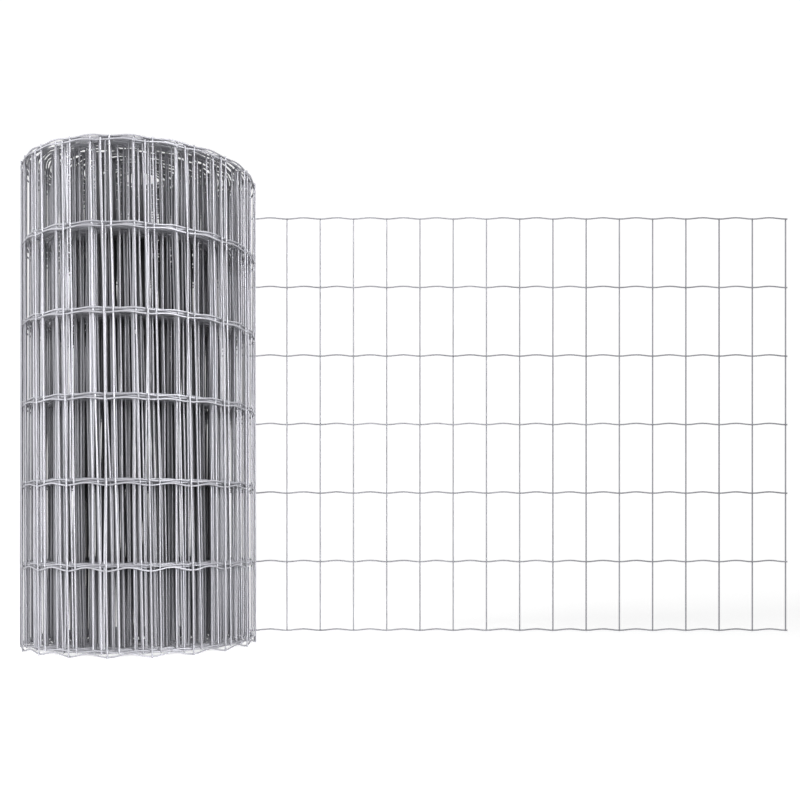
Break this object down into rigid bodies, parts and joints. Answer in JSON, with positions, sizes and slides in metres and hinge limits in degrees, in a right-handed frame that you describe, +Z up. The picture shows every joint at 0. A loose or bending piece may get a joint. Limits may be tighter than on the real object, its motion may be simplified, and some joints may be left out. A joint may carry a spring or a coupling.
{
  "type": "roll of wire fencing",
  "caption": "Roll of welded wire fencing stood on end with its outer end run out flat, for fencing plots and pens; crimped line wires crossed by straight stays.",
  "frame": {"origin": "on the axis of the roll's bore, at its base", "axes": "+Z up along the bore, +X along the flat run-out away from the roll, +Y towards the side of the roll that the run-out leaves from"},
  "size_m": [1.0813, 0.3061, 0.623],
  "materials": {
    "galvanised_wire": "galvanised, satin"
  },
  "bodies": {
    "root": {"rolled_mesh": "galvanised_wire", "unrolled_mesh": "galvanised_wire"}
  },
  "joints": []
}
